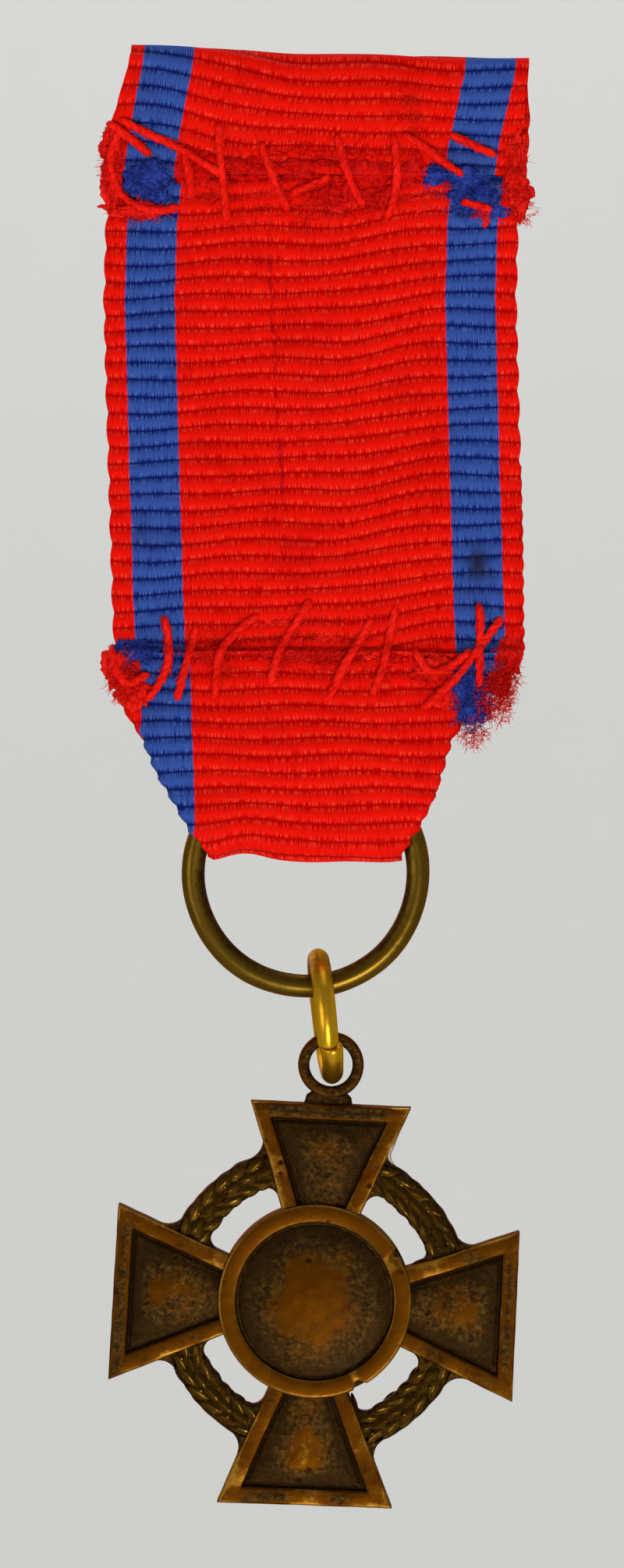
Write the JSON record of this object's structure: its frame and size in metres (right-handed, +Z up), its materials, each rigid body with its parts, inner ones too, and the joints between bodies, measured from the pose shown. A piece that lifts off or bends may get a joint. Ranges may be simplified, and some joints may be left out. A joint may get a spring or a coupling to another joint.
{
  "type": "military service medal",
  "caption": "Miniature service medal: striped ribbon sewn over a hem and a wire ring, jump ring, and flared cross with wreath, hung by the ribbon.",
  "frame": {"origin": "centre of the hem tunnel at the top of the ribbon, where the brooch pin passes", "axes": "+Z up along the hanging ribbon, +X across the ribbon, -Y the plain reverse side and +Y the obverse side"},
  "size_m": [0.0168, 0.0054, 0.0579],
  "materials": {
    "ribbon_weave": "ribbed silk with blue stripes",
    "sewing_thread": "twisted thread",
    "ring_brass": "tarnished, rubbed bright on its crest",
    "link_brass": "bright brass",
    "cross_bronze": "dark patina, worn to bronze on the edges",
    "centre_bronze": "worn bronze",
    "wreath_bronze": "dark patina with gilded highlights"
  },
  "bodies": {
    "ribbon": {"ribbon_front_panel": "ribbon_weave", "ribbon_hem_fold": "ribbon_weave", "ribbon_hem_flap": "ribbon_weave", "ribbon_return_end": "ribbon_weave", "upper_stitches": "sewing_thread", "lower_stitches": "sewing_thread"},
    "ribbon_tail": {"tail_front": "ribbon_weave", "tail_back": "ribbon_weave", "tail_fold": "ribbon_weave", "tail_tuck_left": "ribbon_weave", "tail_tuck_right": "ribbon_weave"},
    "ring": {"suspension_ring": "ring_brass"},
    "link": {"jump_ring": "link_brass"},
    "cross": {"cross_plate": "cross_bronze", "eyelet": "cross_bronze", "reverse_rim": "centre_bronze", "reverse_field": "centre_bronze", "obverse_rim": "centre_bronze", "obverse_field": "centre_bronze", "laurel_upper_right": "wreath_bronze", "laurel_lower_right": "wreath_bronze", "laurel_lower_left": "wreath_bronze", "laurel_upper_left": "wreath_bronze"}
  },
  "joints": [
    {"name": "ribbon_bend", "type": "hinge", "parent": "ribbon", "child": "ribbon_tail", "pos_m": [0, 0, -0.0254], "axis": [1, 0, 0], "range_deg": [-45, 45]},
    {"name": "ring_turn", "type": "hinge", "parent": "ribbon_tail", "child": "ring", "pos_m": [-0.00031, 0, -0.0312], "axis": [0, 1, 0], "range_deg": [-40, 40]},
    {"name": "link_flap", "type": "hinge", "parent": "ring", "child": "link", "pos_m": [0.00011, 0, -0.03562], "axis": [0.9938, 0, 0.1115], "range_deg": [-90, 90]},
    {"name": "cross_swing", "type": "hinge", "parent": "link", "child": "cross", "pos_m": [0.0007, 0, -0.03876], "axis": [0, 1, 0], "range_deg": [-50, 50]}
  ]
}
